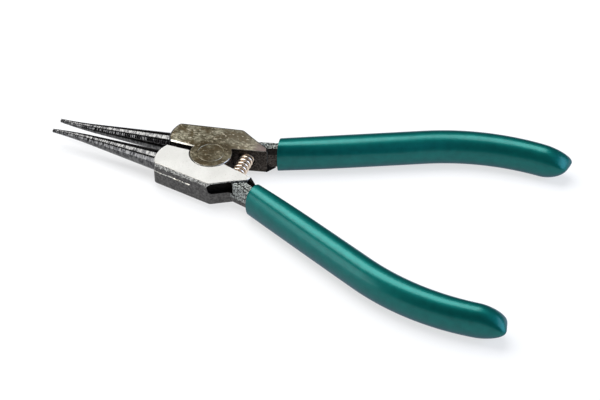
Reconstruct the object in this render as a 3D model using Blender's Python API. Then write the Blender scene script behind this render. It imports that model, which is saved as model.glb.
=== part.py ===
"""Circlip pliers for shaft rings.

Two forged arms turn on a flush rivet. They are one forging, the left arm being the right arm turned
over about the tool's long axis, so each has a lap boss in one half of the head's thickness and a
recess for the other arm's boss in the other half. The arms don't cross: squeezing the handles spreads
the jaws, and a coil spring behind the rivet brings them back. A moulded grip covers each handle bar.

The origin is on the rivet's axis, at the head's underside. The jaws point along -X, the handles run
along +X, +Z is up, and each shape below is drawn for the right arm, on the +Y side.
"""

import math

import bmesh
import bpy
from mathutils import Vector

MM = 0.001
RIGHT, LEFT = 1, -1

# Clearances
running_gap = 0.25 * MM
rivet_gap = 0.1 * MM
fitting_gap = 0.3 * MM
overrun = 1.0 * MM

# Head, seen from above
head_thickness = 9.3 * MM
slot_half_gap = 1.3 * MM
front_inner_x = -16.1 * MM
front_outer_x = -16.4 * MM
front_outer_y = 11.5 * MM
front_bulge = 1.3 * MM
shoulder_x = 5.8 * MM
shoulder_y = 15.6 * MM
flank_x = 12.2 * MM
flank_y = 11.8 * MM
heel_outer_x = 17.4 * MM
heel_outer_y = 9.1 * MM
heel_inner_x = 17.9 * MM
heel_inner_y = 7.4 * MM
right_window_y = 4.5 * MM
left_window_y = 4.1 * MM
boss_radius = 7.35 * MM

# Relief under the head's rear flank, on the recess side
relief_height = 4.2 * MM
relief_lip = 0.4 * MM
relief_depth = 1.3 * MM
relief_lead = 0.8 * MM
relief_length = 8.7 * MM

# Jaws
jaw_reach = 60.1 * MM
jaw_root_x = -17.0 * MM
jaw_tip_radius = 0.65 * MM
jaw_root_radius = 3.75 * MM
jaw_inner_y = 1.5 * MM
tip_toe_out = 0.95 * MM
toe_length = 15.0 * MM
tip_chamfer = 0.25 * MM
jaw_embed = 4.0 * MM

# Rivet
rivet_head_radius = 4.6 * MM
rivet_shank_radius = 3.2 * MM
rivet_land = 0.4 * MM
rivet_countersink = 1.5 * MM

# Return spring
spring_x = 10.85 * MM
spring_diameter = 5.2 * MM
spring_wire = 1.0 * MM
spring_pitch = 1.7 * MM
seat_floor_y = 9.0 * MM

# Handle centreline: a straight run that splays out, then an arc that brings it back
grip_start_x = 20.2 * MM
grip_start_y = 12.25 * MM
handle_splay = math.radians(25.3)
straight_run = 52.0 * MM
bend_radius = 80.0 * MM

# Handle bar
bar_half_width = 3.1 * MM
bar_half_height = 3.45 * MM
bar_outer_bevel = 0.6 * MM
bar_inner_bevel = 2.2 * MM
bar_inner_bevel_height = 1.1 * MM
neck_root_run = 10.0 * MM
neck_root_inner = 1.8 * MM
neck_root_outer = 3.9 * MM
neck_middle_run = 6.0 * MM
neck_middle_inner = 2.85 * MM
neck_middle_outer = 2.8 * MM
neck_end_run = 2.0 * MM

# Grips
grip_length = 103.9 * MM
grip_half_height = 6.2 * MM
grip_start_half_width = 4.6 * MM
grip_middle_half_width = 5.2 * MM
grip_end_half_width = 4.4 * MM
grip_nose_length = 9.5 * MM
grip_end_wall = 13.0 * MM
start_slant = math.radians(16.2)
start_slant_length = 12.0 * MM
start_setback = 0.35 * MM

# Counts and unitless shapes
circle_side_count = 48
jaw_side_count = 16
jaw_stations = 12
front_points = 6
relief_points = 7
bar_stations = 12
grip_side_count = 20
grip_stations = 13
grip_squareness = 2.05
nose_shares = (0.3, 0.55, 0.74, 0.88, 0.97)
nose_side_power = 2.5
nose_height_power = 1.6
curl_step_count = 10

middle = head_thickness / 2


def new_material(name, colour, roughness, metallic):
    material = bpy.data.materials.new(name)
    material.use_nodes = True
    shader = material.node_tree.nodes["Principled BSDF"]
    shader.inputs["Base Color"].default_value = (*colour, 1.0)
    shader.inputs["Roughness"].default_value = roughness
    shader.inputs["Metallic"].default_value = metallic
    return material


def turned_over(side, point):
    """The point on the right arm, or the one that it comes to when the arm is turned over."""
    return Vector((point[0], side * point[1], middle + side * (point[2] - middle)))


def new_object(name, shape, material, side=RIGHT):
    for vert in shape.verts:
        vert.co = turned_over(side, vert.co)
    mesh = bpy.data.meshes.new(name)
    shape.to_mesh(mesh)
    shape.free()
    mesh.shade_smooth()
    mesh.set_sharp_from_angle(angle=math.radians(30))
    piece = bpy.data.objects.new(name, mesh)
    bpy.context.scene.collection.objects.link(piece)
    if material:
        mesh.materials.append(material)
    return piece


def combine(piece, operation, name, shape, side):
    """Joins a shape to the piece, or cuts it out, with a Boolean and a hidden helper."""
    helper = new_object(f"{piece.name}_{name}", shape, None, side)
    helper.hide_render = True
    helper.display_type = "WIRE"
    modifier = piece.modifiers.new(name, "BOOLEAN")
    modifier.operation = operation
    modifier.solver = "EXACT"
    modifier.object = helper


def loft(rings):
    """A closed skin over rings of equally many points, capped at both ends."""
    shape = bmesh.new()
    loops = [[shape.verts.new(point) for point in ring] for ring in rings]
    for first, second in zip(loops, loops[1:]):
        for i in range(len(first)):
            j = (i + 1) % len(first)
            shape.faces.new((first[i], first[j], second[j], second[i]))
    shape.faces.new(loops[0])
    shape.faces.new(loops[-1])
    bmesh.ops.recalc_face_normals(shape, faces=shape.faces)
    return shape


def prism(outline, low, high):
    return loft([[(x, y, z) for x, y in outline] for z in (low, high)])


def circle(radius, count):
    steps = (2 * math.pi * (i + 0.5) / count for i in range(count))
    return [(radius * math.cos(angle), radius * math.sin(angle)) for angle in steps]


def turned(profile, count):
    """A body of revolution about the rivet's axis, from a profile of (radius, height)."""
    return loft([[(x, y, z) for x, y in circle(radius, count)] for radius, z in profile])


def bulged(start, end, bulge, count):
    """Points after start, up to end, on an arc that stands bulge proud to the left of its chord."""
    start, end = Vector(start), Vector(end)
    chord = end - start
    side = Vector((-chord.y, chord.x)).normalized()
    radius = (chord.length**2 / 4 + bulge**2) / (2 * bulge)
    half = math.asin(chord.length / 2 / radius)
    centre = (start + end) / 2 - side * (radius - bulge)
    spoke = (start - centre).normalized() * radius
    points = []
    for i in range(1, count + 1):
        angle = -2 * half * i / count
        turned_spoke = Vector(
            (
                spoke.x * math.cos(angle) - spoke.y * math.sin(angle),
                spoke.x * math.sin(angle) + spoke.y * math.cos(angle),
            )
        )
        points.append(tuple(centre + turned_spoke))
    return points


def head_outline(window_y):
    """The head of one arm with its lap boss, from the slot's inner end round by the front."""
    slot_angle = math.pi - math.asin(slot_half_gap / boss_radius)
    window_angle = math.asin(window_y / boss_radius)
    front_inner = (front_inner_x, slot_half_gap)
    outline = [front_inner]
    outline += bulged(front_inner, (front_outer_x, front_outer_y), front_bulge, front_points)
    outline += [
        (shoulder_x, shoulder_y),
        (flank_x, flank_y),
        (heel_outer_x, heel_outer_y),
        (heel_inner_x, heel_inner_y),
    ]
    sweep = window_angle - slot_angle + 2 * math.pi
    steps = round(circle_side_count * sweep / (2 * math.pi))
    for i in range(steps + 1):
        angle = window_angle - sweep * i / steps
        outline.append((boss_radius * math.cos(angle), boss_radius * math.sin(angle)))
    return outline


def handle_point(run, across, height):
    """The place at a run along the handle's centreline, across it outwards, and above its middle."""
    straight = min(run, straight_run)
    turn = max(run - straight_run, 0) / bend_radius
    heading = handle_splay - turn
    x = grip_start_x + straight * math.cos(handle_splay)
    x += bend_radius * (math.sin(handle_splay) - math.sin(heading))
    y = grip_start_y + straight * math.sin(handle_splay)
    y += bend_radius * (math.cos(heading) - math.cos(handle_splay))
    return (x - across * math.sin(heading), y + across * math.cos(heading), middle + height)


def bar_section(run, inner, outer, half_height):
    """The bar's eight-sided section, with wide bevels towards the other handle and narrow ones outside."""
    quarter = [
        (outer, half_height - bar_outer_bevel),
        (outer - bar_outer_bevel, half_height),
        (bar_inner_bevel - inner, half_height),
        (-inner, half_height - bar_inner_bevel_height),
    ]
    places = quarter + [(across, -height) for across, height in reversed(quarter)]
    return [handle_point(run, across, height) for across, height in places]


def even_runs(start, end, count):
    return [start + (end - start) * i / count for i in range(count + 1)]


def bar():
    sections = [
        bar_section(-neck_root_run, neck_root_inner, neck_root_outer, bar_half_height),
        bar_section(-neck_middle_run, neck_middle_inner, neck_middle_outer, bar_half_height),
    ]
    for run in even_runs(-neck_end_run, grip_length - grip_end_wall, bar_stations):
        sections.append(bar_section(run, bar_half_width, bar_half_width, bar_half_height))
    return loft(sections)


def bar_cavity():
    half_width = bar_half_width + fitting_gap
    half_height = bar_half_height + fitting_gap
    end = grip_length - grip_end_wall + fitting_gap
    sections = [
        bar_section(run, half_width, half_width, half_height)
        for run in even_runs(-overrun - grip_start_half_width, end, bar_stations)
    ]
    return loft(sections)


def signed_power(value, power):
    return math.copysign(abs(value) ** power, value)


def grip_half_width(run):
    """The half width, on a parabola through its values at the grip's start, middle and end."""
    share = run / grip_length
    start, centre, end = grip_start_half_width, grip_middle_half_width, grip_end_half_width
    return (
        start * (1 - share) * (1 - 2 * share)
        + 4 * centre * share * (1 - share)
        + end * share * (2 * share - 1)
    )


def grip_section(run, side_share, height_share):
    """A rounded oblong with a narrow flat along its top and its underside, slanted at the grip's start."""
    power = 2 / grip_squareness
    flat_angle = math.pi / 2 * (1 - 2 / grip_side_count)
    half_width = grip_half_width(run) * side_share
    half_height = grip_half_height * height_share / math.sin(flat_angle) ** power
    slant = math.tan(start_slant) * max(1 - run / start_slant_length, 0)
    points = []
    for x, y in circle(1, grip_side_count):
        across = half_width * signed_power(x, power)
        points.append(handle_point(run + slant * across, across, half_height * signed_power(y, power)))
    return points


def grip_skin():
    nose_start = grip_length - grip_nose_length
    sections = [grip_section(run, 1, 1) for run in even_runs(start_setback, nose_start, grip_stations)]
    for share in nose_shares:
        side_share = (1 - share**nose_side_power) ** (1 / nose_side_power)
        height_share = (1 - share**nose_height_power) ** (1 / nose_height_power)
        sections.append(grip_section(nose_start + share * grip_nose_length, side_share, height_share))
    end_share = (1 - nose_shares[-1]) / 2
    sections.append(grip_section(grip_length, end_share, end_share))
    return loft(sections)


def jaw():
    """A round taper whose inner side runs beside the other jaw and toes out near the tip."""
    length = jaw_reach + jaw_root_x
    rings = []
    for i in range(jaw_stations + 1):
        run = (length + jaw_embed) * i / jaw_stations
        radius = jaw_tip_radius + (jaw_root_radius - jaw_tip_radius) * run / length
        toe = tip_toe_out * max(1 - run / toe_length, 0) ** 2
        centre_y = jaw_inner_y + radius + toe
        rings.append((run - jaw_reach, centre_y, radius))
    tip_x, tip_y, tip_radius = rings[0]
    rings[0] = (tip_x + tip_chamfer, tip_y, tip_radius)
    rings.insert(0, (tip_x, tip_y, tip_radius - tip_chamfer))
    return loft(
        [[(x, y + across, middle + up) for across, up in circle(radius, jaw_side_count)] for x, y, radius in rings]
    )


def lap_recess():
    radius = boss_radius + running_gap
    return turned([(radius, -overrun), (radius, middle + running_gap / 2)], circle_side_count)


def rivet_profile(gap, reach):
    """The rivet's (radius, height) profile, a gap larger all round and reaching past both faces."""
    head = rivet_head_radius + gap
    shank = rivet_shank_radius + gap
    return [
        (head, -reach),
        (head, rivet_land),
        (shank, rivet_land + rivet_countersink),
        (shank, head_thickness - rivet_land - rivet_countersink),
        (head, head_thickness - rivet_land),
        (head, head_thickness + reach),
    ]


def spring_seat():
    radius = spring_diameter / 2 + fitting_gap
    return loft(
        [
            [(spring_x + across, y, middle + up) for across, up in circle(radius, jaw_side_count)]
            for y in (slot_half_gap, seat_floor_y)
        ]
    )


def flank_relief():
    """A slot with a round front end, let into the rear flank of the recess half."""
    shoulder = Vector((shoulder_x, shoulder_y))
    along = (Vector((flank_x, flank_y)) - shoulder).normalized()
    inward = Vector((along.y, -along.x))
    radius = relief_height / 2
    centre_z = relief_lip + radius
    outline = [(relief_length - relief_lead, -radius), (relief_length - relief_lead, radius)]
    for i in range(relief_points + 1):
        angle = math.pi / 2 + math.pi * i / relief_points
        outline.append((radius - relief_lead + radius * math.cos(angle), radius * math.sin(angle)))
    rings = []
    for depth in (-relief_height, relief_depth):
        rings.append(
            [(*(shoulder + along * run + inward * depth), centre_z + up) for run, up in outline]
        )
    return loft(rings)


def make_arm(name, side, window_y, material):
    arm = new_object(name, prism(head_outline(window_y), 0, head_thickness), material, side)
    combine(arm, "DIFFERENCE", "lap_recess", lap_recess(), side)
    combine(arm, "UNION", "jaw", jaw(), side)
    combine(arm, "UNION", "bar", bar(), side)
    hole = turned(rivet_profile(rivet_gap, overrun), circle_side_count)
    combine(arm, "DIFFERENCE", "rivet_hole", hole, side)
    combine(arm, "DIFFERENCE", "spring_seat", spring_seat(), side)
    combine(arm, "DIFFERENCE", "relief", flank_relief(), side)


def make_grip(name, side, material):
    grip = new_object(name, grip_skin(), material, side)
    combine(grip, "DIFFERENCE", "cavity", bar_cavity(), side)


def spring_path():
    """The wire's centreline: a left-hand helix along Y whose ends turn straight into the seats."""
    radius = (spring_diameter - spring_wire) / 2
    end_y = seat_floor_y - fitting_gap
    helix_y = end_y - spring_wire
    turns = 2 * helix_y / spring_pitch
    steps = round(turns * curl_step_count)
    points = [Vector((spring_x + radius, -end_y, middle))]
    for i in range(steps + 1):
        angle = 2 * math.pi * turns * i / steps
        x = spring_x + radius * math.cos(angle)
        z = middle - radius * math.sin(angle)
        points.append(Vector((x, -helix_y + 2 * helix_y * i / steps, z)))
    last = points[-1]
    points.append(Vector((last.x, end_y, last.z)))
    return points


def least_gap(points, apart):
    """The least distance between the skins of turns, over points at least apart steps from each other."""
    gaps = [
        (points[i] - points[j]).length
        for i in range(len(points))
        for j in range(i + apart, len(points))
    ]
    return min(gaps) - spring_wire


def make_spring(material):
    points = spring_path()
    curve = bpy.data.curves.new("return_spring", "CURVE")
    curve.dimensions = "3D"
    curve.bevel_depth = spring_wire / 2
    curve.bevel_resolution = 1
    curve.use_fill_caps = True
    spline = curve.splines.new("POLY")
    spline.points.add(len(points) - 1)
    for place, point in zip(spline.points, points):
        place.co = (*point, 1.0)
    spline.use_smooth = True
    curve.materials.append(material)
    spring = bpy.data.objects.new("return_spring", curve)
    bpy.context.scene.collection.objects.link(spring)
    gap = least_gap(points, curl_step_count // 2)
    print(f"return_spring: least gap between its turns {gap / MM:.2f} mm")


def main():
    for old in list(bpy.data.objects):
        bpy.data.objects.remove(old)
    forged = new_material("blackened_forged_steel", (0.035, 0.033, 0.034), 0.35, 1.0)
    ground = new_material("ground_steel", (0.32, 0.30, 0.25), 0.3, 1.0)
    spring_steel = new_material("bright_spring_wire", (0.62, 0.5, 0.38), 0.25, 1.0)
    vinyl = new_material("green_vinyl", (0.01, 0.19, 0.16), 0.3, 0.0)
    make_arm("right_arm", RIGHT, right_window_y, forged)
    make_arm("left_arm", LEFT, left_window_y, forged)
    new_object("pivot_rivet", turned(rivet_profile(0, 0), circle_side_count), ground)
    make_spring(spring_steel)
    make_grip("right_grip", RIGHT, vinyl)
    make_grip("left_grip", LEFT, vinyl)


main()
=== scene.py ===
"""Looks of the circlip pliers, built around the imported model.

Both arms are one forging, the left arm being the right arm turned over about the tool's long axis, so
each shape here is drawn for the right arm, on the +Y side, and turned over where the left arm needs it.
Lengths are in metres, through MM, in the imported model's own frame.
"""

import math

import bmesh
import bpy
from mathutils import Matrix, Vector, noise


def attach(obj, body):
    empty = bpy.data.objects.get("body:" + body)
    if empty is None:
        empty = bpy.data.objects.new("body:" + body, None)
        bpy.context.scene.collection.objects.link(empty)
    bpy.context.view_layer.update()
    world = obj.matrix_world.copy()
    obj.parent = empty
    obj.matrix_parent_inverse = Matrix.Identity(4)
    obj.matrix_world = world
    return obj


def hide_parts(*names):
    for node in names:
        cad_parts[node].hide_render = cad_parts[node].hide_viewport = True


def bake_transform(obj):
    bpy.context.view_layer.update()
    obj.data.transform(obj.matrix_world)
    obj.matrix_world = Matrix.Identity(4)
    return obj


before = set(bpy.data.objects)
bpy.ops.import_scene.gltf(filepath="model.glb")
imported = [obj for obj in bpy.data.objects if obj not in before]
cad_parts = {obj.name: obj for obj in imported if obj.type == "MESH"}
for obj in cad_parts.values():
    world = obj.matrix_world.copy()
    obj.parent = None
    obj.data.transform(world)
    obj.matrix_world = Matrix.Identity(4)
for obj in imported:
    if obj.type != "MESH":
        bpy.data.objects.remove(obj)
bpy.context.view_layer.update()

MM = 0.001
RIGHT, LEFT = 1, -1

# Head, seen from above
head_thickness = 9.3 * MM
slot_half_gap = 1.3 * MM
front_inner_x = -16.1 * MM
front_outer_x = -16.4 * MM
front_outer_y = 11.5 * MM
front_bulge = 1.3 * MM
shoulder_x = 5.8 * MM
shoulder_y = 15.6 * MM
flank_x = 12.2 * MM
flank_y = 11.8 * MM
heel_outer_x = 17.4 * MM
heel_outer_y = 9.1 * MM
heel_inner_x = 17.9 * MM
heel_inner_y = 7.4 * MM
right_window_y = 4.5 * MM
left_window_y = 4.1 * MM
boss_radius = 7.35 * MM
running_gap = 0.25 * MM
outline_step = 0.35 * MM
corner_smoothings = 2
slot_mouth_share = 0.97
overrun = 1.0 * MM
round_sides = 180

# Head, from its recess face up to its boss face
parting_height = 4.0 * MM
low_bands = 9
flash_ridge = 0.22 * MM
flash_grain = 2.0 * MM
flash_foot_share = 0.2
flash_wave = 0.2 * MM
flash_wave_grain = 3.0 * MM
flash_wave_plane = 9.0 * MM
# Painted highlight along the parting line: where it ends, how far its end wanders, and its grain
painted_highlight_line_end = -2.0 * MM
painted_highlight_line_wave = 4.0 * MM
painted_highlight_line_grain = 0.9 * MM
die_shift = 0.3 * MM
die_shift_foot_share = 0.6
rim_radius = 0.6 * MM
edge_break = 0.12 * MM
slot_bevel_depth = 0.29 * MM
slot_bevel_front = 0.56 * MM
slot_bevel_back = 0.42 * MM
trimmed_share = 0.42
trimmed_wave_share = 0.12
trimmed_grain = 1.5 * MM
scale_relief = 0.05 * MM
scale_grain = 1.1 * MM
rim_steps = 6

# Ramp from the heel's corner down to the neck, as run, across and height above the recess face, in mm
heel_ramp_corners = (
    (-4.3, -3.5, 0.0),
    (-1.0, -2.7, 1.2),
    (-3.5, -2.2, 0.6),
    (-6.0, -2.2, 0.3),
    (-6.0, -2.6, 3.0),
    (-4.3, -3.2, 3.0),
    (-1.0, -2.3, 3.0),
)

# Web between the flank and the neck
web_radius = 5.5 * MM
web_low = 4.3 * MM
web_high = 7.7 * MM
web_neck_embed = 2.5 * MM
web_flank_embed = 2.0 * MM
web_steps = 14

# Relief under the head's rear flank, on the recess side
relief_height = 4.2 * MM
relief_lip = 0.4 * MM
relief_depth = 1.3 * MM
relief_lead = 0.8 * MM
relief_length = 8.7 * MM
relief_fillet = 0.4 * MM
relief_fillet_share = 0.3
relief_steps = 18

# Jaws
jaw_reach = 60.1 * MM
jaw_root_x = -17.0 * MM
jaw_tip_radius = 0.65 * MM
jaw_root_radius = 3.75 * MM
jaw_inner_y = 1.5 * MM
tip_toe_out = 0.95 * MM
toe_length = 15.0 * MM
tip_chamfer = 0.25 * MM
jaw_embed = 4.0 * MM
turning_mark_pitch = 0.8 * MM
turning_mark_depth = 0.036 * MM
root_mark_share = 0.08
mark_drift_turns = 1.6
mark_drift_pace = 0.8
mark_patch_pace = 0.37
mark_patch_low = 0.35
mark_patch_high = 0.65
faint_mark_share = 0.2
deep_mark_share = 1.6
jaw_sides = 64
jaw_stations = 400

# Rivet
rivet_head_radius = 4.6 * MM
rivet_shank_radius = 3.2 * MM
rivet_land = 0.4 * MM
rivet_countersink = 1.5 * MM
rivet_gap = 0.1 * MM
rivet_edge = 0.15 * MM

# Return spring
spring_x = 10.85 * MM
spring_diameter = 5.2 * MM
spring_wire = 1.0 * MM
spring_pitch = 1.7 * MM
seat_floor_y = 9.0 * MM
fitting_gap = 0.3 * MM
closed_pitch = 1.08 * MM
spring_turn_steps = 40
wire_sides = 16
seat_sides = 48

# Handle centreline: a straight run that splays out, then an arc that brings it back
grip_start_x = 20.2 * MM
grip_start_y = 12.25 * MM
handle_splay = math.radians(25.3)
straight_run = 52.0 * MM
bend_radius = 80.0 * MM

# Handle bar
bar_half_width = 3.1 * MM
bar_half_height = 3.45 * MM
bar_outer_bevel = 0.6 * MM
bar_inner_bevel = 2.2 * MM
bar_inner_bevel_height = 1.1 * MM
crease_across = 1.2 * MM
crease_width = 0.4 * MM
crease_depth = 0.3 * MM
neck_root_rise = 0.55 * MM
neck_rise_run = 3.0 * MM
neck_root_run = 10.0 * MM
neck_root_inner = 1.8 * MM
neck_root_outer = 3.9 * MM
neck_middle_run = 6.0 * MM
neck_middle_inner = 2.85 * MM
neck_middle_outer = 3.5 * MM
neck_end_run = 2.0 * MM
neck_end_outer = 2.9 * MM
neck_mouth_outer = 2.6 * MM
neck_step = 0.3 * MM
neck_shown = 4.0 * MM
neck_dent = 0.06 * MM
neck_dent_grain = 0.8 * MM
neck_smooth_height = 1.3 * MM
bar_stations = 24

# Grips
grip_length = 103.33 * MM
grip_half_height = 6.2 * MM
grip_start_half_width = 4.6 * MM
grip_middle_half_width = 5.2 * MM
grip_end_half_width = 4.25 * MM
grip_nose_length = 9.5 * MM
grip_end_wall = 13.0 * MM
right_start_slant = math.radians(16.2)
left_start_slant = math.radians(5.5)
start_slant_length = 12.0 * MM
right_start_setback = 0.35 * MM
left_start_setback = 1.2 * MM
start_lip = 0.2 * MM
start_lip_steps = 6
start_draw = 0.9 * MM
start_draw_length = 26.0 * MM
start_squareness = 2.3
grip_squareness = 2.05
rounding_run = 45.0 * MM
grip_sides = 72
grip_stations = 90
nose_steps = 22
nose_side_power = 4.8
nose_height_power = 1.75
nose_skew = 1.1 * MM
nose_lift = 0.3 * MM

# Sharpest turn between faces that still looks smooth
forging_smooth_turn = math.radians(17)
rivet_smooth_turn = math.radians(28)
grip_smooth_turn = math.radians(35)
wire_smooth_turn = math.radians(60)

# Patterns of the finishes. Lines and grains finer than about 0.3 mm are too fine to show in the render,
# so grinding lines, turning rings and draw lines are drawn a few times as coarse as the real ones.
grinding_line = 0.12 * MM
grinding_line_stretch = 14
grinding_relief = 0.02 * MM
steel_speck = 0.45 * MM
oxide_patch = 3.6 * MM
oxide_cloud = 0.7 * MM
oxide_speck = 0.9 * MM
oxide_relief = 0.02 * MM
oil_edge_share = 0.85
oil_reach_share = 1.5
handled_share = 0.3
blued_run = 3.0 * MM
blued_share = 0.7
turning_ring = 0.22 * MM
turning_ring_stretch = 30
turning_relief = 0.01 * MM
chatter_length = 0.7 * MM
draw_line = 0.15 * MM
vinyl_ripple = 2.5 * MM
vinyl_relief = 0.03 * MM

# Camera, as solved from the two mirrored handles in the photograph; lens and sensor in millimetres
camera_azimuth = math.radians(20.55)
camera_elevation = math.radians(41.02)
camera_distance = 546.5 * MM
camera_target = Vector((35.23 * MM, -5.837 * MM, 3.04 * MM))
camera_lens = 96.06
camera_sensor_width = 36.0
camera_clip_start = 10 * MM

# White studio: the strengths that a camera ray, a diffuse ray and any other ray finds in the room
backdrop_strength = 1.0
ambient_strength = 0.3
room_strength = 0.04
table_glow = 0.64
table_size = 3000 * MM
resting_z = -1.55 * MM

# Softboxes, as direction from the head, distance, width, height, radiance and tint
softboxes = {
    "overhead_softbox": ((-0.26, 0.18, 1.0), 600 * MM, 600 * MM, 480 * MM, 6.0, "#FFFEFB"),
    "left_softbox": ((-0.68, -0.61, 0.34), 380 * MM, 160 * MM, 270 * MM, 3.5, "#FDFDFF"),
    "right_softbox": ((1.0, 0.0, 0.42), 900 * MM, 600 * MM, 1200 * MM, 3.2, "#CCDEFF"),
}

middle = head_thickness / 2

# Slots of the finishes on a forging, and the one slot of a sleeve
GROUND, ROUGH, SMOOTH, TURNED, SCALE, RUBBED_AND_HIGHLIGHT, SCALE_AND_SHADE, MACHINED, WORN = range(9)
VINYL = 0


def turned_over(side, point):
    """The point on the right arm, or the one that it comes to when the arm is turned over."""
    return Vector((point[0], side * point[1], middle + side * (point[2] - middle)))


def add_node(tree, kind, inputs=(), **settings):
    """Adds a node with its settings. Its inputs are given in their order, or by name or number, and each
    takes a value, a socket, or a node's first output."""
    node = tree.nodes.new(kind)
    for name, value in settings.items():
        setattr(node, name, value)
    for place, value in inputs.items() if isinstance(inputs, dict) else enumerate(inputs):
        if isinstance(value, bpy.types.Node):
            value = value.outputs[0]
        if isinstance(value, bpy.types.NodeSocket):
            tree.links.new(value, node.inputs[place])
        else:
            node.inputs[place].default_value = value
    return node


def colour(code):
    """A linear colour from an sRGB hex value."""
    shares = [int(code[i : i + 2], 16) / 255 for i in (1, 3, 5)]
    linear = [s / 12.92 if s <= 0.04045 else ((s + 0.055) / 1.055) ** 2.4 for s in shares]
    return (*linear, 1.0)


def new_finish(name, roughness, metallic=1.0):
    """A material with its tree, its shader and the Object coordinates that its patterns follow."""
    material = bpy.data.materials.new(name)
    material.use_nodes = True
    tree = material.node_tree
    shader = tree.nodes["Principled BSDF"]
    shader.inputs["Roughness"].default_value = roughness
    shader.inputs["Metallic"].default_value = metallic
    place = add_node(tree, "ShaderNodeTexCoord").outputs["Object"]
    return material, tree, shader, place


def speckled(tree, place, size, low, high, detail=4.0, stretch=(1, 1, 1)):
    """A share that goes from 0 to 1 as noise goes from low to high, its grains size across and stretched
    along each axis."""
    scaled = add_node(
        tree, "ShaderNodeMapping", {"Vector": place, "Scale": [1 / (size * s) for s in stretch]}
    )
    grains = add_node(tree, "ShaderNodeTexNoise", {"Vector": scaled, "Scale": 1.0, "Detail": detail})
    return add_node(tree, "ShaderNodeMapRange", {"Value": grains, "From Min": low, "From Max": high})


def surfaced(tree, shader, ground, layers, grain, strength, relief):
    """Lays each layer's colour over the ground, or multiplies it in, as far as its share reaches, and
    gives the surface the relief of its grain."""
    body = ground
    for blend, share, code in layers:
        inputs = {0: share, 6: body, 7: colour(code)}
        layer = add_node(tree, "ShaderNodeMix", inputs, data_type="RGBA", blend_type=blend)
        body = layer.outputs[2]
    bump = add_node(tree, "ShaderNodeBump", {"Height": grain, "Strength": strength, "Distance": relief})
    tree.links.new(body, shader.inputs["Base Color"])
    tree.links.new(bump.outputs[0], shader.inputs["Normal"])


def ground_steel(name, dark, light, speck, roughness, mottling):
    """Surface-ground steel. The eye gets a flat satin face with faint grinding lines along the tool,
    which smear its reflections, and a light mottling of oxide."""
    material, tree, shader, place = new_finish(name, roughness)
    clouds = speckled(tree, place, mottling, low=0.35, high=0.65)
    specks = speckled(tree, place, steel_speck, low=0.6, high=0.72, detail=3.0)
    along_tool = (grinding_line_stretch, 1, 1)
    lines = speckled(tree, place, grinding_line, low=0.3, high=0.7, detail=2.0, stretch=along_tool)
    layers = [("MIX", clouds, light), ("MIX", specks, speck)]
    surfaced(tree, shader, colour(dark), layers, lines, strength=0.15, relief=grinding_relief)
    return material


def oxidised_steel():
    """Ground steel left to brown under oily hands. The eye gets a dull straw-brown face with cloudy
    patches of thin oxide, rubbed clean in specks, darkest where oil creeps out round the rivet,
    lightest towards the heel, and blued at the heel's end."""
    material, tree, shader, place = new_finish("ground_steel_oxidised", roughness=0.46)
    along = add_node(tree, "ShaderNodeSeparateXYZ", [place]).outputs["X"]
    level = add_node(tree, "ShaderNodeVectorMath", [place, (1.0, 1.0, 0.0)], operation="MULTIPLY")
    away = add_node(tree, "ShaderNodeVectorMath", [level], operation="LENGTH").outputs["Value"]
    oiled, handled, blued = (
        add_node(
            tree,
            "ShaderNodeMapRange",
            {"Value": run, "From Min": start, "From Max": end, "To Min": first, "To Max": last},
        )
        for run, start, end, first, last in (
            (away, boss_radius * oil_edge_share, boss_radius * oil_reach_share, 1.0, 0.0),
            (along, -boss_radius, heel_outer_x, 0.0, handled_share),
            (along, flank_x, flank_x + blued_run, 0.0, blued_share),
        )
    )
    patches = speckled(tree, place, oxide_patch, low=0.42, high=0.6, detail=3.0)
    clouds = speckled(tree, place, oxide_cloud, low=0.34, high=0.66, stretch=(1.6, 1, 1))
    specks = speckled(tree, place, oxide_speck, low=0.57, high=0.7, stretch=(1.3, 1, 1))
    patched = add_node(
        tree, "ShaderNodeMix", {0: patches, 6: colour("#665A44"), 7: colour("#A4A18E")}, data_type="RGBA"
    )
    clouded = add_node(
        tree, "ShaderNodeMix", {0: clouds, 6: colour("#4C4637"), 7: patched.outputs[2]}, data_type="RGBA"
    )
    layers = [
        ("MIX", specks, "#CBC4B1"),
        ("MIX", handled, "#ABA596"),
        ("MULTIPLY", oiled, "#B7B3AC"),
        ("MIX", blued, "#8A7A7C"),
    ]
    surfaced(tree, shader, clouded.outputs[2], layers, clouds, strength=0.3, relief=oxide_relief)
    return material


def forged_steel(name, dark, light, grain, roughness, relief):
    """Drop-forged steel, blackened. The eye gets dark scale with a soft gloss, rubbed lighter on the
    high spots of its grain."""
    material, tree, shader, place = new_finish(name, roughness)
    grains = speckled(tree, place, grain, low=0.4, high=0.64, detail=5.0)
    layers = [("MIX", grains, light)]
    surfaced(tree, shader, colour(dark), layers, grains, strength=0.6, relief=relief)
    return material


def turned_steel():
    """Steel turned between centres, polished and blackened. The eye gets a black gloss with narrow
    bright reflections, broken up by fine rings round the taper and by patches of tool chatter."""
    material, tree, shader, place = new_finish("turned_blackened_steel", roughness=0.12)
    round_taper = (1, turning_ring_stretch, turning_ring_stretch)
    rings = speckled(tree, place, turning_ring, low=0.35, high=0.7, detail=2.0, stretch=round_taper)
    chatter = speckled(tree, place, chatter_length, low=0.4, high=0.62, stretch=(1, 2, 2))
    layers = [("MIX", chatter, "#686868")]
    surfaced(tree, shader, colour("#39393B"), layers, rings, strength=0.2, relief=turning_relief)
    return material


def spring_wire_steel():
    """Hard-drawn spring steel, left bright. The eye gets a shiny wire with a warm straw tint from its
    tempering, and fine marks of the drawing die."""
    material, tree, shader, place = new_finish("bright_spring_wire", roughness=0.31)
    lines = speckled(tree, place, draw_line, low=0.3, high=0.7, detail=2.0)
    body = add_node(
        tree, "ShaderNodeMix", {0: lines, 6: colour("#D2B698"), 7: colour("#FBF2E6")}, data_type="RGBA"
    )
    tree.links.new(body.outputs[2], shader.inputs["Base Color"])
    return material


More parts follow.
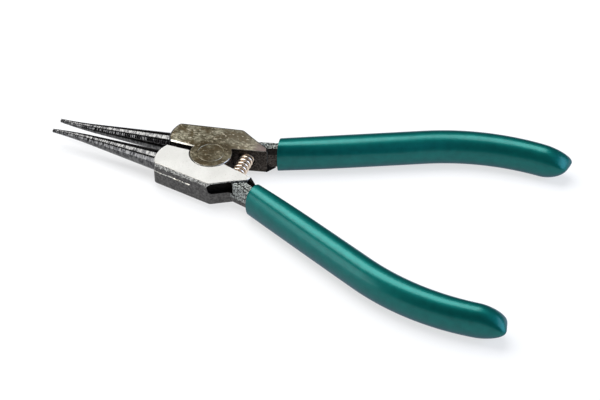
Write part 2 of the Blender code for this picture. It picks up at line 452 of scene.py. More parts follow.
def dipped_vinyl():
    """Vinyl with a pearl pigment, dipped on hot. Its flakes reflect as a tinted metal does, under the
    clear skin of the dip. The eye gets a satin green with a broad soft sheen, bluer at grazing angles,
    and a faint sag ripple."""
    material, tree, shader, place = new_finish("dipped_green_vinyl", roughness=0.44, metallic=0.74)
    ripple = speckled(tree, place, vinyl_ripple, low=0.3, high=0.7)
    layers = [("MIX", ripple, "#066660")]
    surfaced(tree, shader, colour("#045D58"), layers, ripple, strength=0.2, relief=vinyl_relief)
    shader.inputs["Specular Tint"].default_value = colour("#6C90C8")
    shader.inputs["Coat Weight"].default_value = 0.32
    shader.inputs["Coat Roughness"].default_value = 0.21
    return material


def mesh_object(name, shape, finishes):
    """An object from a shape, which is used up, with its finishes in their slots."""
    mesh = bpy.data.meshes.new(name)
    shape.to_mesh(mesh)
    shape.free()
    for finish in finishes:
        mesh.materials.append(finish)
    piece = bpy.data.objects.new(name, mesh)
    bpy.context.scene.collection.objects.link(piece)
    return piece


def shade(piece, smooth_turn):
    """Smooth shading up to a turn between faces, past which an edge stays sharp."""
    piece.data.shade_smooth()
    piece.data.set_sharp_from_angle(angle=smooth_turn)


def skin(rings, finish, side, finish_at=None):
    """A closed skin over rings of equally many points, drawn for the right arm and turned over if need
    be, in one finish, or with finish_at giving each wall face's from its band and its place in it."""
    shape = bmesh.new()
    loops = [[shape.verts.new(turned_over(side, point)) for point in ring] for ring in rings]
    count = len(rings[0])
    for band, (first, second) in enumerate(zip(loops, loops[1:])):
        for i in range(count):
            j = (i + 1) % count
            face = shape.faces.new((first[i], first[j], second[j], second[i]))
            face.material_index = finish_at(band, i) if finish_at else finish
    for loop in (loops[0], loops[-1]):
        shape.faces.new(loop).material_index = finish
    bmesh.ops.recalc_face_normals(shape, faces=shape.faces)
    return shape


def circle(radius, count):
    """Evenly spaced places round a circle, the first half a step past the X axis."""
    steps = (2 * math.pi * (i + 0.5) / count for i in range(count))
    return [(radius * math.cos(angle), radius * math.sin(angle)) for angle in steps]


def turned(profile, finishes, cap, side):
    """A body of revolution about the rivet's axis, from (radius, height) places, with a finish for each
    band and one for its caps."""
    rings = [[(x, y, z) for x, y in circle(radius, round_sides)] for radius, z in profile]
    return skin(rings, cap, side, lambda band, i: finishes[band])


def carve(piece, operation, name, shape, finishes):
    """Joins a shape to the piece or cuts it out, through a helper that lives until the piece is settled."""
    helper = mesh_object(f"{piece.name}_{name}", shape, finishes)
    modifier = piece.modifiers.new(name, "BOOLEAN")
    modifier.operation = operation
    modifier.solver = "EXACT"
    modifier.object = helper
    return helper


def settled(piece, helpers):
    """The piece with its modifiers made into its mesh, and the helpers removed."""
    graph = bpy.context.evaluated_depsgraph_get()
    mesh = bpy.data.meshes.new_from_object(piece.evaluated_get(graph))
    piece.modifiers.clear()
    piece.data = mesh
    for helper in helpers:
        bpy.data.objects.remove(helper)
    return piece


def stepped(start, end):
    """Points from start up to, but not at, end, about an outline step apart."""
    start, end = Vector(start), Vector(end)
    count = max(round((end - start).length / outline_step), 1)
    return [start.lerp(end, i / count) for i in range(count)]


def bulged(start, end, bulge):
    """Points from start up to, but not at, end, on an arc that stands bulge proud to the left."""
    start, end = Vector(start), Vector(end)
    chord = end - start
    left = Vector((-chord.y, chord.x)).normalized()
    radius = (chord.length**2 / 4 + bulge**2) / (2 * bulge)
    half = math.asin(chord.length / 2 / radius)
    centre = (start + end) / 2 - left * (radius - bulge)
    spoke = (start - centre).normalized() * radius
    count = round(2 * half * radius / outline_step)
    return [centre + Matrix.Rotation(-2 * half * i / count, 2) @ spoke for i in range(count)]


def head_outline(window_y):
    """The head of one arm with its lap boss, as points and whether each is on the forged skin."""
    slot_angle = math.pi - math.asin(slot_half_gap / boss_radius)
    window_angle = math.asin(window_y / boss_radius)
    corners = [
        Vector((front_outer_x, front_outer_y)),
        Vector((shoulder_x, shoulder_y)),
        Vector((flank_x, flank_y)),
        Vector((heel_outer_x, heel_outer_y)),
        Vector((heel_inner_x, heel_inner_y)),
    ]
    boss_start = Vector((boss_radius * math.cos(window_angle), window_y))
    forged = bulged((front_inner_x, slot_half_gap), corners[0], front_bulge)
    for first, second in zip(corners, corners[1:]):
        forged += stepped(first, second)
    for _ in range(corner_smoothings):
        forged = (
            forged[:1]
            + [(a + 2 * b + c) / 4 for a, b, c in zip(forged, forged[1:], forged[2:])]
            + forged[-1:]
        )
    machined = stepped(corners[-1], boss_start)
    sweep = window_angle - slot_angle + 2 * math.pi
    count = round(sweep * boss_radius / outline_step)
    for i in range(count):
        angle = window_angle - sweep * i / count
        machined.append(Vector((boss_radius * math.cos(angle), boss_radius * math.sin(angle))))
    slot_end = Vector((boss_radius * math.cos(slot_angle), boss_radius * math.sin(slot_angle)))
    machined += stepped(slot_end, (front_inner_x, slot_half_gap))
    points = forged + machined
    return points, [i < len(forged) for i in range(len(points))]


def outward_normals(points):
    """The outline runs clockwise seen from above, so its outside is to the left of its direction."""
    normals = []
    for i, point in enumerate(points):
        along = points[(i + 1) % len(points)] - points[i - 1]
        normals.append(Vector((-along.y, along.x)).normalized())
    return normals


def head(window_y, side):
    """The head of one arm in bands from its recess face up: a forged skin with a trimmed lower part,
    a flash ridge on the parting line and a rounded rim, and machined walls at the slot and window."""
    points, forged = head_outline(window_y)
    normals = outward_normals(points)
    rim_start = head_thickness - rim_radius
    ridge_low, ridge_high = parting_height - flash_ridge, parting_height + flash_ridge
    shifted_low = parting_height + 3 * flash_ridge
    heights = [0, edge_break, *(parting_height * k / low_bands for k in range(1, low_bands - 1))]
    heights += [ridge_low, parting_height, ridge_high, shifted_low, (parting_height + rim_start) / 2]
    rim = [rim_start + rim_radius * math.sin(math.pi / 2 * i / rim_steps) for i in range(rim_steps + 1)]
    heights += sorted(rim + [head_thickness - slot_bevel_depth, head_thickness - edge_break])
    slot_mouth_x = -boss_radius * slot_mouth_share
    in_slot = [
        not skinned and point.x < slot_mouth_x and abs(point.y - slot_half_gap) < outline_step
        for point, skinned in zip(points, forged)
    ]

    def inset(height, i):
        """How far the wall lies inside the outline at a height, or outside it where negative."""
        point = points[i]
        depth = head_thickness - height
        if in_slot[i]:
            share = min((point.x - front_inner_x) / (-boss_radius - front_inner_x), 1)
            bevel = slot_bevel_front + (slot_bevel_back - slot_bevel_front) * share
            return max(bevel * (1 - depth / slot_bevel_depth), 0)
        if not forged[i]:
            return max(edge_break - depth, 0)
        if height <= edge_break:
            return edge_break - height
        if height < ridge_low:
            return scale_relief * noise.noise(Vector((point.x, point.y, height)) / scale_grain)
        if height <= parting_height:
            wave = 1 + noise.noise(Vector((point.x, point.y, 0)) / flash_grain)
            return -flash_ridge * wave * (flash_foot_share if height <= ridge_low else 1)
        if height <= ridge_high:
            return -die_shift * die_shift_foot_share
        rise = max(height - rim_start, 0) / rim_radius
        return rim_radius * (1 - math.sqrt(max(1 - rise**2, 0))) - die_shift

    rings = []
    for height in heights:
        ring = []
        near_parting = ridge_low <= height <= shifted_low
        for i, point in enumerate(points):
            place = point - normals[i] * inset(height, i)
            lift = flash_wave * noise.noise(Vector((point.x, point.y, flash_wave_plane)) / flash_wave_grain)
            ring.append((place.x, place.y, height + (lift if near_parting and forged[i] else 0)))
        rings.append(ring)

    def finish_at(band, i):
        low = heights[band]
        # Slot bevels and broken edges: worn bare, with painted highlight
        if not forged[i]:
            broken = slot_bevel_depth if in_slot[i] else edge_break
            return RUBBED_AND_HIGHLIGHT if low > head_thickness - broken - edge_break / 2 else MACHINED
        if band == 0:
            return RUBBED_AND_HIGHLIGHT
        # Painted shade: the left arm's rounded rim, which lies along its lower edge, is all but black
        if side == LEFT and low > rim_start:
            return SCALE_AND_SHADE
        place = Vector((points[i].x, points[i].y, low))
        wave = trimmed_wave_share * noise.noise(place / trimmed_grain)
        if low < parting_height * (trimmed_share + wave):
            return ROUGH
        if low < ridge_low or low >= ridge_high:
            return SMOOTH
        # Painted highlight: a pale broken line on the flash ridge, towards the front
        wave = noise.noise(place / painted_highlight_line_grain)
        if place.x > painted_highlight_line_end + painted_highlight_line_wave * wave:
            return SMOOTH
        return RUBBED_AND_HIGHLIGHT if wave > 0 else ROUGH

    return skin(rings, GROUND, side, finish_at)


def lap_recess(side):
    """The room for the other arm's boss, with a broken edge."""
    radius = boss_radius + running_gap
    top = middle + running_gap / 2
    profile = [(radius + edge_break + overrun, -overrun), (radius, edge_break), (radius, top)]
    return turned(profile, [RUBBED_AND_HIGHLIGHT, MACHINED], MACHINED, side)


def rivet_profile(gap, reach, edge):
    """The double countersunk rivet, or its hole, which is gap wider and runs past both faces by reach.
    An edge above zero opens the mouths out, and one below zero breaks the heads' rims."""
    head_radius = rivet_head_radius + gap
    shank = rivet_shank_radius + gap
    half = [
        (head_radius + edge + reach, -reach),
        (head_radius, rivet_edge),
        (head_radius, rivet_land),
        (shank, rivet_land + rivet_countersink),
    ]
    return half + [(radius, head_thickness - z) for radius, z in reversed(half)]


def handle_point(run, across, height):
    """The place at a run along the handle's centreline, across it outwards and above its middle."""
    straight = min(run, straight_run)
    turn = max(run - straight_run, 0) / bend_radius
    heading = handle_splay - turn
    x = grip_start_x + straight * math.cos(handle_splay)
    x += bend_radius * (math.sin(handle_splay) - math.sin(heading))
    y = grip_start_y + straight * math.sin(handle_splay)
    y += bend_radius * (math.cos(heading) - math.cos(handle_splay))
    return (x - across * math.sin(heading), y + across * math.cos(heading), middle + height)


def even_runs(start, end, count):
    """The runs that part a stretch into as many equal steps as count, with both its ends."""
    return [start + (end - start) * i / count for i in range(count + 1)]


def bar_section(inner, outer, half_height, crease):
    """The bar's section as (across, height, finish) places, from its outer side over its top."""
    top = [
        (outer, half_height - bar_outer_bevel, SMOOTH),
        (outer - bar_outer_bevel, half_height, SCALE),
        (crease_across + crease_width, half_height, SCALE),
        (crease_across + crease_width / 2, half_height - crease, SCALE),
        (crease_across, half_height, SCALE),
        # Painted shade: the inner bevel is all but black
        (bar_inner_bevel - inner, half_height, SCALE_AND_SHADE),
        (-inner, half_height - bar_inner_bevel_height, MACHINED),
    ]
    low = [(across, -height) for across, height, _ in reversed(top)]
    # Painted shade: on this face the inner bevel and the crease are all but black
    finishes = [SCALE_AND_SHADE, SCALE, SCALE_AND_SHADE, SCALE_AND_SHADE, SCALE, SCALE, SCALE]
    return top + [(across, height, finish) for (across, height), finish in zip(low, finishes)]


def section_at(run):
    """The neck's inner and outer half widths, from its root in the head to the even bar."""
    stations = [
        (-neck_root_run, neck_root_inner, neck_root_outer),
        (-neck_middle_run, neck_middle_inner, neck_middle_outer),
        (-neck_end_run, bar_half_width, neck_end_outer),
        (0, bar_half_width, neck_mouth_outer),
        (neck_end_run, bar_half_width, bar_half_width),
    ]
    if run >= neck_end_run:
        return bar_half_width, bar_half_width
    for first, second in zip(stations, stations[1:]):
        if run <= second[0]:
            share = (run - first[0]) / (second[0] - first[0])
            return (
                first[1] + share * (second[1] - first[1]),
                first[2] + share * (second[2] - first[2]),
            )


def bar(side):
    """The neck, swollen at its root and dented by the hammer, and the even bar inside the grip."""
    neck_count = round((neck_root_run + neck_shown) / neck_step)
    runs = even_runs(-neck_root_run, neck_shown, neck_count)
    runs += even_runs(neck_shown, grip_length - grip_end_wall, bar_stations)[1:]
    even = bar_section(bar_half_width, bar_half_width, bar_half_height, crease_depth)
    steps = [
        max(round(math.dist(first[:2], second[:2]) / neck_step), 1)
        for first, second in zip(even, even[1:] + even[:1])
    ]
    rings = []
    for run in runs:
        inner, outer = section_at(run)
        share = min(max((neck_rise_run - run) / (neck_rise_run + neck_root_run), 0), 1)
        half_height = bar_half_height + neck_root_rise * math.sqrt(share)
        fade = min(max((neck_shown - run) / neck_rise_run, 0), 1)
        corners = bar_section(inner, outer, half_height, crease_depth * fade)
        ring = []
        for count, (a, b, finish), (c, d, _) in zip(steps, corners, corners[1:] + corners[:1]):
            for i in range(count):
                across, height = a + (c - a) * i / count, b + (d - b) * i / count
                place = Vector(handle_point(run, across, height))
                if finish == SCALE and 0 < i:
                    dent = fade * neck_dent * noise.noise(place / neck_dent_grain)
                    dent /= math.hypot(across, height)
                    place = Vector(handle_point(run, across * (1 + dent), height * (1 + dent)))
                ring.append(place)
        rings.append(ring)
    finishes = []
    for count, (a, b, finish), (c, d, _) in zip(steps, even, even[1:] + even[:1]):
        for i in range(count):
            smooth = a == c == bar_half_width and b + (d - b) * i / count > neck_smooth_height
            finishes.append(SMOOTH if smooth else finish)
    return skin(rings, SMOOTH, side, lambda band, i: finishes[i])


def heel_ramp(side):
    """The chip-like ramp between the heel's inner corner and the neck."""
    shape = bmesh.new()
    for corner in heel_ramp_corners:
        run, across, height = (value * MM for value in corner)
        shape.verts.new(turned_over(side, handle_point(run, across, height - middle)))
    bmesh.ops.convex_hull(shape, input=shape.verts)
    # Painted shade: the whole ramp is all but black
    for face in shape.faces:
        face.material_index = SCALE_AND_SHADE
    bmesh.ops.recalc_face_normals(shape, faces=shape.faces)
    return shape


def web(side):
    """The concave fillet of the forging between its rear flank and its neck."""
    flank_way = (Vector((flank_x, flank_y)) - Vector((shoulder_x, shoulder_y))).normalized()
    neck_way = Vector((math.cos(handle_splay), math.sin(handle_splay)))
    corner = Vector((flank_x, flank_y))
    turn = flank_way.angle(neck_way)
    reach = web_radius * math.tan(turn / 2)
    first = corner - flank_way * reach
    centre = first + Vector((-flank_way.y, flank_way.x)) * web_radius
    spoke = first - centre
    outline = [centre + Matrix.Rotation(turn * i / web_steps, 2) @ spoke for i in range(web_steps + 1)]
    inward = Vector((math.sin(handle_splay), -math.cos(handle_splay)))
    outline += [outline[-1] + neck_way * reach / 2, outline[-1] + inward * web_neck_embed]
    outline += [first + Vector((flank_way.y, -flank_way.x)) * web_flank_embed]
    rings = []
    for i in range(rim_steps + 1):
        angle = math.pi / 2 * i / rim_steps
        height = web_high - rim_radius + rim_radius * math.sin(angle)
        pull = rim_radius * (1 - math.cos(angle))
        shifts = [Vector((0, -pull if k <= web_steps + 1 else 0)) for k in range(len(outline))]
        rings.append([(*(point + shift), height) for point, shift in zip(outline, shifts)])
    rings.insert(0, [(*point, web_low) for point in outline])
    return skin(rings, SMOOTH, side)


def flank_relief(side):
    """The pocket in the rear flank of the recess half, round at the shoulder and square at the neck."""
    shoulder = Vector((shoulder_x, shoulder_y))
    along = (Vector((flank_x, flank_y)) - shoulder).normalized()
    inward = Vector((along.y, -along.x))
    radius = relief_height / 2
    centre_z = relief_lip + radius
    end = relief_length - relief_lead
    rings = []
    for depth, shrink in (
        (-relief_height, 0),
        (relief_depth - relief_fillet, 0),
        (relief_depth - relief_fillet * relief_fillet_share, relief_fillet * relief_fillet_share),
        (relief_depth, relief_fillet),
    ):
        ring = []
        small = radius - shrink
        outline = [(end - shrink, -small), (end - shrink, small)]
        for i in range(relief_steps + 1):
            angle = math.pi / 2 + math.pi * i / relief_steps
            outline.append((radius - relief_lead + small * math.cos(angle), small * math.sin(angle)))
        for run, up in outline:
            ring.append((*(shoulder + along * run + inward * depth), centre_z + up))
        rings.append(ring)
    # Scale and painted shade: the pocket's walls are all but black
    return skin(rings, SCALE_AND_SHADE, side)


def spring_seat(side):
    """The blind hole for one end of the spring."""
    radius = spring_diameter / 2 + fitting_gap
    rings = [
        [(spring_x + across, y, middle + up) for across, up in circle(radius, seat_sides)]
        for y in (slot_half_gap, seat_floor_y)
    ]
    # Scale and painted shade: the hole's wall is all but black
    return skin(rings, SCALE_AND_SHADE, side)


def new_tree(name, sizes):
    """A geometry tree with a named input for each size and one for the finish, and those inputs."""
    tree = bpy.data.node_groups.new(name, "GeometryNodeTree")
    tree.interface.new_socket("Geometry", in_out="INPUT", socket_type="NodeSocketGeometry")
    tree.interface.new_socket("Geometry", in_out="OUTPUT", socket_type="NodeSocketGeometry")
    for label, size in sizes.items():
        kind = "NodeSocketInt" if isinstance(size, int) else "NodeSocketFloat"
        tree.interface.new_socket(label, in_out="INPUT", socket_type=kind).default_value = size
    tree.interface.new_socket("Finish", in_out="INPUT", socket_type="NodeSocketMaterial")
    return tree, add_node(tree, "NodeGroupInput").outputs


def moved(tree, geometry, x, y, z):
    """The geometry with each of its points at the place worked out for it."""
    place = add_node(tree, "ShaderNodeCombineXYZ", [x, y, z])
    return add_node(tree, "GeometryNodeSetPosition", {"Geometry": geometry, "Position": place})


def grown(name, tree, given, geometry, material):
    """Ends a tree and makes its geometry a mesh object with its finish and without its modifier."""
    real = add_node(tree, "GeometryNodeRealizeInstances", [geometry])
    finished = add_node(tree, "GeometryNodeSetMaterial", {"Geometry": real, "Material": given["Finish"]})
    add_node(tree, "NodeGroupOutput", [finished])
    piece = bpy.data.objects.new(name, bpy.data.meshes.new(name))
    bpy.context.scene.collection.objects.link(piece)
    modifier = piece.modifiers.new(name, "NODES")
    modifier.node_group = tree
    for item in tree.interface.items_tree:
        if item.item_type == "SOCKET" and item.in_out == "INPUT" and item.name == "Finish":
            modifier[item.identifier] = material
    return settled(piece, [])


def turned_jaw(material):
    """A round taper whose inner side runs beside the other jaw and toes out at the tip. Its turning
    marks wander in pitch, fade towards the root, and come in faint and deep patches."""
    length = jaw_reach + jaw_root_x
    total = length + jaw_embed
    tree, given = new_tree(
        "turned_jaw",
        {
            "Tip Radius": jaw_tip_radius,
            "Root Radius": jaw_root_radius,
            "Inner Side": jaw_inner_y,
            "Toe Out": tip_toe_out,
            "Toe Length": toe_length,
            "Mark Pitch": turning_mark_pitch,
            "Mark Depth": turning_mark_depth,
            "Tip Chamfer": tip_chamfer,
            "Sides": jaw_sides,
            "Stations": jaw_stations,
        },
    )
    math_node = "ShaderNodeMath"
    rod = add_node(
        tree,
        "GeometryNodeMeshCylinder",
        {"Vertices": given["Sides"], "Side Segments": given["Stations"], "Radius": 1.0, "Depth": 1.0},
    )
    place = add_node(tree, "ShaderNodeSeparateXYZ", [add_node(tree, "GeometryNodeInputPosition")])
    share = add_node(tree, math_node, [place.outputs["Z"], 0.5], operation="ADD")
    run = add_node(tree, math_node, [share, total], operation="MULTIPLY")
    growth = add_node(tree, math_node, [given["Root Radius"], given["Tip Radius"]], operation="SUBTRACT")
    slope = add_node(tree, math_node, [growth, length], operation="DIVIDE")
    radius = add_node(tree, math_node, [run, slope, given["Tip Radius"]], operation="MULTIPLY_ADD")
    toe_part = add_node(tree, math_node, [run, given["Toe Length"]], operation="DIVIDE")
    toe_left = add_node(tree, math_node, [1.0, toe_part], operation="SUBTRACT", use_clamp=True)
    toe_square = add_node(tree, math_node, [toe_left, 2.0], operation="POWER")
    toe = add_node(tree, math_node, [toe_square, given["Toe Out"]], operation="MULTIPLY")
    turns = add_node(tree, math_node, [run, given["Mark Pitch"]], operation="DIVIDE")
    drift = add_node(
        tree,
        "ShaderNodeTexNoise",
        {"W": turns, "Scale": mark_drift_pace, "Detail": 3.0},
        noise_dimensions="1D",
    )
    drifted = add_node(tree, math_node, [drift, mark_drift_turns, turns], operation="MULTIPLY_ADD")
    angle = add_node(tree, math_node, [drifted, 2 * math.pi], operation="MULTIPLY")
    wave = add_node(tree, math_node, [angle], operation="SINE")
    fade = add_node(tree, "ShaderNodeMapRange", {"Value": share, "To Min": 1.0, "To Max": root_mark_share})
    patch_turns = add_node(tree, math_node, [turns, mark_patch_pace], operation="MULTIPLY")
    patches = add_node(
        tree, "ShaderNodeTexNoise", {"W": patch_turns, "Scale": 1.0, "Detail": 2.0}, noise_dimensions="1D"
    )
    strength = add_node(
        tree,
        "ShaderNodeMapRange",
        {
            "Value": patches,
            "From Min": mark_patch_low,
            "From Max": mark_patch_high,
            "To Min": faint_mark_share,
            "To Max": deep_mark_share,
        },
    )
    steady = add_node(tree, math_node, [wave, fade], operation="MULTIPLY")
    faded = add_node(tree, math_node, [steady, strength], operation="MULTIPLY")
    marks = add_node(tree, math_node, [faded, given["Mark Depth"]], operation="MULTIPLY")
    at_tip = add_node(tree, math_node, [share, 0.5 / jaw_stations], operation="LESS_THAN")
    broken = add_node(tree, math_node, [at_tip, given["Tip Chamfer"]], operation="MULTIPLY")
    rough = add_node(tree, math_node, [radius, marks], operation="ADD")
    skin_radius = add_node(tree, math_node, [rough, broken], operation="SUBTRACT")
    inner = add_node(tree, math_node, [radius, given["Inner Side"]], operation="ADD")
    centre_y = add_node(tree, math_node, [inner, toe], operation="ADD")
    new_x = add_node(tree, math_node, [run, jaw_reach], operation="SUBTRACT")
    across, up = place.outputs["X"], place.outputs["Y"]
    new_y = add_node(tree, math_node, [across, skin_radius, centre_y], operation="MULTIPLY_ADD")
    new_z = add_node(tree, math_node, [up, skin_radius, middle], operation="MULTIPLY_ADD")
    return grown("jaw_blank", tree, given, moved(tree, rod, new_x, new_y, new_z), material)


def coil_spring(material):
    """The return spring: a wound wire with closed end turns, its ends in the arms' blind holes."""
    span = 2 * (seat_floor_y - fitting_gap - spring_wire / 2)
    open_turns = round((span - 2 * closed_pitch) / spring_pitch)
    # One closed turn more at each end
    turns = open_turns + 2
    tree, given = new_tree(
        "wound_spring",
        {
            "Coil Radius": (spring_diameter - spring_wire) / 2,
            "Wire Radius": spring_wire / 2,
            "Span": span,
            "Turns": float(turns),
            "Steps": turns * spring_turn_steps,
        },
    )
    math_node = "ShaderNodeMath"
    points = add_node(tree, math_node, [given["Steps"], 1.0], operation="ADD")
    line = add_node(tree, "GeometryNodeMeshLine", {"Count": points})
    index = add_node(tree, "GeometryNodeInputIndex")
    share = add_node(tree, math_node, [index, given["Steps"]], operation="DIVIDE")
    turned_by = add_node(tree, math_node, [share, given["Turns"]], operation="MULTIPLY")
    angle = add_node(tree, math_node, [turned_by, 2 * math.pi], operation="MULTIPLY")
    cosine = add_node(tree, math_node, [angle], operation="COSINE")
    sine = add_node(tree, math_node, [angle], operation="SINE")
    # Down from the side away from the rivet, for a right-hand winding
    coil = given["Coil Radius"]
    new_x = add_node(tree, math_node, [cosine, coil, spring_x], operation="MULTIPLY_ADD")
    fall = add_node(tree, math_node, [sine, -1.0], operation="MULTIPLY")
    new_z = add_node(tree, math_node, [fall, coil, middle], operation="MULTIPLY_ADD")
    pace = add_node(tree, "ShaderNodeFloatCurve", {"Value": share})
    closed_share = closed_pitch / span
    curve = pace.mapping.curves[0]
    curve.points[0].location = (0.0, 0.0)
    curve.points[1].location = (1.0, 1.0)
    for place in ((1 / turns, closed_share), (1 - 1 / turns, 1 - closed_share)):
        curve.points.new(*place)
    for point in curve.points:
        point.handle_type = "VECTOR"
    pace.mapping.update()
    centred = add_node(tree, math_node, [pace, 0.5], operation="SUBTRACT")
    new_y = add_node(tree, math_node, [centred, given["Span"]], operation="MULTIPLY")
    wire_line = add_node(tree, "GeometryNodeMeshToCurve", [moved(tree, line, new_x, new_y, new_z)])
    profile = add_node(
        tree,
        "GeometryNodeCurvePrimitiveCircle",
        {"Resolution": wire_sides, "Radius": given["Wire Radius"]},
    )
    wire = add_node(
        tree,
        "GeometryNodeCurveToMesh",
        {"Curve": wire_line, "Profile Curve": profile, "Fill Caps": True},
    )
    return grown("wound_return_spring", tree, given, wire, material)


def arm(name, side, window_y, finishes, jaw_blank):
    """One forging: the head with its lap recess, joined to its web, jaw, bar and heel ramp, and bored."""
    piece = mesh_object(name, head(window_y, side), finishes)
    jaw_mesh = bmesh.new()
    jaw_mesh.from_mesh(jaw_blank.data)
    for vert in jaw_mesh.verts:
        vert.co = turned_over(side, vert.co)
    for face in jaw_mesh.faces:
        face.material_index = TURNED
    bands = [WORN, MACHINED, MACHINED, MACHINED, MACHINED, MACHINED, WORN]
    hole = turned(rivet_profile(rivet_gap, overrun, rivet_edge), bands, WORN, side)
    operations = (
        ("DIFFERENCE", "lap_recess", lap_recess(side)),
        ("UNION", "web", web(side)),
        ("UNION", "jaw", jaw_mesh),
        ("UNION", "bar", bar(side)),
        ("UNION", "heel_ramp", heel_ramp(side)),
        ("DIFFERENCE", "rivet_hole", hole),
        ("DIFFERENCE", "spring_seat", spring_seat(side)),
        ("DIFFERENCE", "relief", flank_relief(side)),
    )
    helpers = [carve(piece, operation, part, shape, finishes) for operation, part, shape in operations]
    settled(piece, helpers)
    shade(piece, forging_smooth_turn)
    return piece


def rivet(finishes):
    """The rivet, peened and ground flush, with both edges broken."""
    profile = rivet_profile(0, 0, -rivet_edge)
    bands = [WORN, SMOOTH, SMOOTH, SMOOTH, SMOOTH, SMOOTH, WORN]
    piece = mesh_object("flush_rivet", turned(profile, bands, GROUND, RIGHT), finishes)
    shade(piece, rivet_smooth_turn)
    return piece


def signed_power(value, power):
    """The power of a value's size, with the value's own sign."""
    return math.copysign(abs(value) ** power, value)


def grip_half_width(run):
    """The sleeve's half width, on a parabola through its start, middle and end widths."""
    share = run / grip_length
    start, centre, end = grip_start_half_width, grip_middle_half_width, grip_end_half_width
    return (
        start * (1 - share) * (1 - 2 * share)
        + 4 * centre * share * (1 - share)
        + end * share * (2 * share - 1)
    )


def grip_section(run, start_slant, side_share, height_share, inset, skew=0, lift=0):
    """One ring of the sleeve: rounded oblong near the start, where it also leans and is drawn in on its
    inner side, and nearly oval from there on."""
    rounding = max(1 - run / rounding_run, 0) ** 2
    power = 2 / (grip_squareness + (start_squareness - grip_squareness) * rounding)
    half_width = grip_half_width(run) * side_share - inset
    half_height = grip_half_height * height_share - inset
    slant = math.tan(start_slant) * max(1 - run / start_slant_length, 0)
    draw = start_draw * max(1 - run / start_draw_length, 0) ** 2
    points = []
    for x, y in circle(1, grip_sides):
        across = (half_width - (draw if x < 0 else 0)) * signed_power(x, power)
        height = half_height * signed_power(y, power)
        points.append(handle_point(run + slant * across, across + skew, height + lift))
    return points


def grip(name, side, start_slant, start_setback, finish):
    """The dipped sleeve, with a rolled lip at its start, a blunt nose that leans outwards, and the
    hollow that the bar fills."""
    nose_start = grip_length - grip_nose_length
    rings = []
    for i in range(start_lip_steps + 1):
        angle = math.pi / 2 * i / start_lip_steps
        back = start_lip * (1 - math.sin(angle))
        run = start_setback + start_lip - start_lip * math.cos(angle)
        rings.append(grip_section(run, start_slant, 1, 1, back))
    even = even_runs(start_setback + start_lip, nose_start, grip_stations)
    rings += [grip_section(run, start_slant, 1, 1, 0) for run in even[1:]]
    for i in range(1, nose_steps):
        share = math.sin(math.pi / 2 * i / nose_steps)
        side_share = (1 - share**nose_side_power) ** (1 / nose_side_power)
        height_share = (1 - share**nose_height_power) ** (1 / nose_height_power)
        run = nose_start + share * grip_nose_length
        skew = nose_skew * share**2
        # Up on both sleeves, also on the one that is turned over
        lift = side * nose_lift * share**2
        rings.append(grip_section(run, start_slant, side_share, height_share, 0, skew, lift))
    piece = mesh_object(name, skin(rings, VINYL, side), [finish])
    half_width = bar_half_width + fitting_gap
    half_height = bar_half_height + fitting_gap
    end = grip_length - grip_end_wall + fitting_gap
    bore = bar_section(half_width, half_width, half_height, 0)
    cavity = [
        [handle_point(run, across, height) for across, height, _ in bore]
        for run in even_runs(-grip_start_half_width, end, bar_stations)
    ]
    helper = carve(piece, "DIFFERENCE", "cavity", skin(cavity, VINYL, side), [finish])
    settled(piece, [helper])
    shade(piece, grip_smooth_turn)
    return piece


def soft_light(name, direction, distance, width, height, radiance, tint):
    """A rectangular softbox that faces the head, its width along the tool, given by its radiance."""
    lamp = bpy.data.lights.new(name, "AREA")
    lamp.shape = "RECTANGLE"
    lamp.size = width
    lamp.size_y = height
    lamp.energy = radiance * math.pi * width * height
    lamp.color = colour(tint)[:3]
    holder = bpy.data.objects.new(name, lamp)
    away = Vector(direction).normalized()
    across = (Vector((1, 0, 0)) - away * away.x).normalized()
    turn = Matrix((across, away.cross(across), away)).transposed()
    holder.location = away * distance
    holder.rotation_euler = turn.to_euler()
    holder.visible_camera = False
    bpy.context.scene.collection.objects.link(holder)


def studio():
    """A white table in a white room, with three softboxes. The camera sees both white, and metal mirrors
    the table white and the room dark, while the light on the tool stays at a plain level."""
    scene = bpy.context.scene
    scene.view_settings.view_transform = "Standard"
    world = bpy.data.worlds.new("white_studio")
    scene.world = world
    world.use_nodes = True
    tree = world.node_tree
    path = add_node(tree, "ShaderNodeLightPath")
    room = add_node(
        tree, "ShaderNodeMix", {0: path.outputs["Is Camera Ray"], 2: room_strength, 3: backdrop_strength}
    )
    ambient = add_node(
        tree, "ShaderNodeMix", {0: path.outputs["Is Diffuse Ray"], 2: room, 3: ambient_strength}
    )
    tree.links.new(ambient.outputs[0], tree.nodes["Background"].inputs["Strength"])
    tree.nodes["Background"].inputs["Color"].default_value = colour("#FFFFFF")

    floor_material, floor_tree, floor_shader, _ = new_finish("white_table", roughness=0.6, metallic=0.0)
    floor_path = add_node(floor_tree, "ShaderNodeLightPath")
    seen = floor_path.outputs["Is Camera Ray"]
    for ray in ("Is Glossy Ray", "Is Transmission Ray"):
        inputs = [seen, floor_path.outputs[ray]]
        seen = add_node(floor_tree, "ShaderNodeMath", inputs, operation="ADD", use_clamp=True)
    glow = add_node(floor_tree, "ShaderNodeMath", [seen, table_glow], operation="MULTIPLY")
    floor_shader.inputs["Base Color"].default_value = colour("#8C8D8F")
    floor_shader.inputs["Specular IOR Level"].default_value = 0.0
    floor_shader.inputs["Emission Color"].default_value = colour("#FFFFFF")
    floor_tree.links.new(glow.outputs[0], floor_shader.inputs["Emission Strength"])
    shape = bmesh.new()
    bmesh.ops.create_grid(shape, x_segments=1, y_segments=1, size=table_size)
    floor = mesh_object("white_table", shape, [floor_material])
    floor.location.z = resting_z

    for name, settings in softboxes.items():
        soft_light(name, *settings)


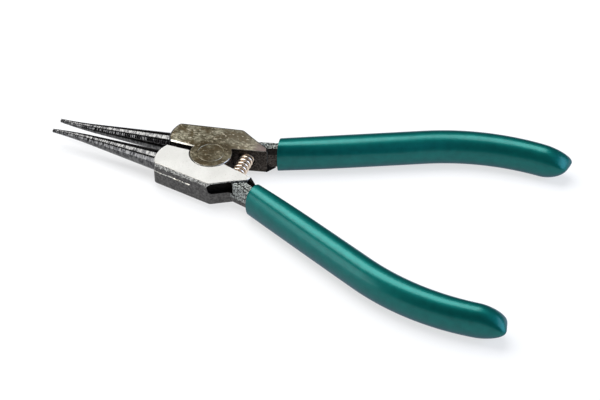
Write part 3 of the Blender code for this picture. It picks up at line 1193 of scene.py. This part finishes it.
def place_camera():
    """The camera, where the photograph was taken from."""
    lens = bpy.data.cameras.new("camera")
    lens.lens = camera_lens
    lens.sensor_width = camera_sensor_width
    lens.clip_start = camera_clip_start
    holder = bpy.data.objects.new("camera", lens)
    back = Vector(
        (
            math.sin(camera_azimuth) * math.cos(camera_elevation),
            -math.cos(camera_azimuth) * math.cos(camera_elevation),
            math.sin(camera_elevation),
        )
    )
    holder.location = camera_target + back * camera_distance
    holder.rotation_euler = back.to_track_quat("Z", "Y").to_euler()
    bpy.context.scene.collection.objects.link(holder)
    bpy.context.scene.camera = holder


def main():
    """The finishes, the pieces, each on its body in place of its CAD node, the studio and the camera."""
    # Sheared flash and hammered skin: coarse, with bright high spots where the trimming die rubbed
    rough = forged_steel(
        "trimmed_forging_skin", "#4A4A48", "#D0D0CC", grain=0.5 * MM, roughness=0.42, relief=0.08 * MM
    )
    # Tumbled and blackened skin: an even dark grey with a soft gloss
    smooth = forged_steel(
        "blackened_steel", "#444343", "#5C5B5A", grain=0.9 * MM, roughness=0.36, relief=0.02 * MM
    )
    # Scale left on the necks: near black, with pale glints of bare grain
    scale = forged_steel(
        "forge_scale", "#262726", "#B0B6B4", grain=0.6 * MM, roughness=0.42, relief=0.1 * MM
    )
    # Edges rubbed bare in use, and painted highlight: pale bright lines round the plates, on the slot
    # bevels and along the parting line
    rubbed = ground_steel(
        "rubbed_edge_and_painted_highlight", "#BDB9B0", "#D4D1C8", speck="#E4E2DC", roughness=0.3, mottling=1.2 * MM
    )
    # Peened edges of the rivet and its hole: a dull straw line
    worn = ground_steel(
        "worn_rivet_edge", "#8E8772", "#B0A994", speck="#D6D0C0", roughness=0.45, mottling=0.8 * MM
    )
    # Scale in pockets that no tool reaches, and painted shade: matt, all but black, in the pockets, holes
    # and heel ramps, on the bars' inner bevels and creases, and on the left arm's lower rim
    pocket = forged_steel(
        "scale_and_painted_shade", "#141312", "#232120", grain=0.5 * MM, roughness=0.7, relief=0.03 * MM
    )
    turned_black = turned_steel()
    # Milled walls gone brown: dark, with a dull gloss
    machined = forged_steel(
        "machined_oxidised_steel", "#221E1B", "#4C4743", grain=0.5 * MM, roughness=0.4, relief=0.02 * MM
    )
    # Freshly ground plate: a pale, nearly white satin face
    bright = ground_steel(
        "ground_steel_bright", "#C6C6C4", "#D0D0CE", speck="#B8B8B4", roughness=0.46, mottling=6.0 * MM
    )
    tempered = oxidised_steel()
    vinyl = dipped_vinyl()
    shared = [rough, smooth, turned_black, scale, rubbed, pocket, machined, worn]
    left_finishes = [bright, *shared]
    right_finishes = [tempered, *shared]
    jaw_blank = turned_jaw(turned_black)
    steel = "blackened_forged_steel"
    right_sleeve = grip("right_sleeve", RIGHT, right_start_slant, right_start_setback, vinyl)
    left_sleeve = grip("left_sleeve", LEFT, left_start_slant, left_start_setback, vinyl)
    right_forging = arm("right_forging", RIGHT, right_window_y, right_finishes, jaw_blank)
    left_forging = arm("left_forging", LEFT, left_window_y, left_finishes, jaw_blank)
    rows = [
        (right_forging, "right_side", "right_arm", steel),
        (left_forging, "left_side", "left_arm", steel),
        (rivet(right_finishes), "right_side", "pivot_rivet", "ground_steel"),
        (right_sleeve, "right_side", "right_grip", "green_vinyl"),
        (left_sleeve, "left_side", "left_grip", "green_vinyl"),
    ]
    bpy.data.objects.remove(jaw_blank)
    for piece, body, node, slot in rows:
        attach(piece, body)
        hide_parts(node)
    spring = coil_spring(spring_wire_steel())
    shade(spring, wire_smooth_turn)
    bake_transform(spring)
    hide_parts("return_spring")
    studio()
    place_camera()


main()
